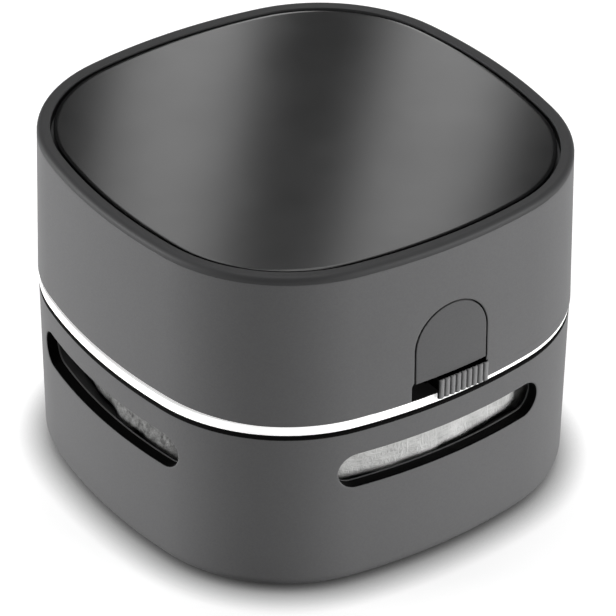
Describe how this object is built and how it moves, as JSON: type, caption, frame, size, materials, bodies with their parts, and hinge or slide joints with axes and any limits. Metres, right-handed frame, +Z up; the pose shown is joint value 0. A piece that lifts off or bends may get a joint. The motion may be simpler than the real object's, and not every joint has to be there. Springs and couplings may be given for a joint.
{
  "type": "desktop vacuum cleaner",
  "caption": "Small battery desk vacuum: rounded-square grey casing with a glossy top, white seam band, side vents, ribbed slide switch and a lift-off motor head.",
  "frame": {"origin": "middle of the footprint on the surface that the feet stand on", "axes": "+Z up; -Y towards the switch side; +X to the right when facing the switch"},
  "size_m": [0.0814, 0.0825, 0.0609],
  "materials": {
    "shell_grey": "satin dark grey coat",
    "knob_grey": "satin dark grey",
    "trim_dark": "soft matt dark grey",
    "panel_gloss": "glossy dark grey",
    "white_plastic": "satin white",
    "filter_felt": "white non-woven felt",
    "black_plastic": "matt black",
    "nylon": "grey bristles",
    "rubber": "matt black",
    "steel": "bright steel",
    "brass": "brass",
    "impeller_grey": "satin",
    "cell_wrap": "shrink wrap",
    "circuit_board": "solder mask"
  },
  "bodies": {
    "dust_box": {"lower_shell": "shell_grey", "base_plate": "black_plastic", "inlet_duct": "black_plastic", "brush_ring": "black_plastic", "bristles": "nylon", "feet": "rubber", "base_screws": "steel", "seal_ring": "rubber"},
    "head": {"fan_floor": "black_plastic", "intake_grille": "black_plastic", "filter_sleeve": "filter_felt", "fan_cage": "black_plastic", "mid_frame": "white_plastic", "motor_can": "steel", "motor_bush": "brass", "motor_end_cap": "black_plastic", "motor_terminals": "brass", "motor_clamp": "black_plastic", "clamp_screws": "steel", "long_screws": "steel", "battery_cradle": "black_plastic", "battery_cell": "cell_wrap", "battery_contacts": "steel", "switch_board": "circuit_board", "board_parts": "black_plastic", "usb_board": "circuit_board", "usb_socket": "steel", "upper_shell": "shell_grey", "arch_plate": "shell_grey", "top_trim": "trim_dark", "top_panel": "panel_gloss", "slide_switch": "steel"},
    "switch": {"switch_knob": "knob_grey", "switch_lever": "black_plastic"},
    "impeller": {"impeller": "impeller_grey", "impeller_blades": "impeller_grey", "impeller_shroud": "impeller_grey", "motor_shaft": "steel"}
  },
  "joints": [
    {"name": "head_lift", "type": "slide", "parent": "dust_box", "child": "head", "axis": [0, 0, 1], "range_m": [0, 0.022]},
    {"name": "switch_slide", "type": "slide", "parent": "head", "child": "switch", "axis": [-1, 0, 0], "range_m": [0, 0.0047]},
    {"name": "impeller_spin", "type": "hinge", "parent": "head", "child": "impeller", "pos_m": [0, 0, 0.025], "axis": [0, 0, 1], "continuous": true}
  ]
}
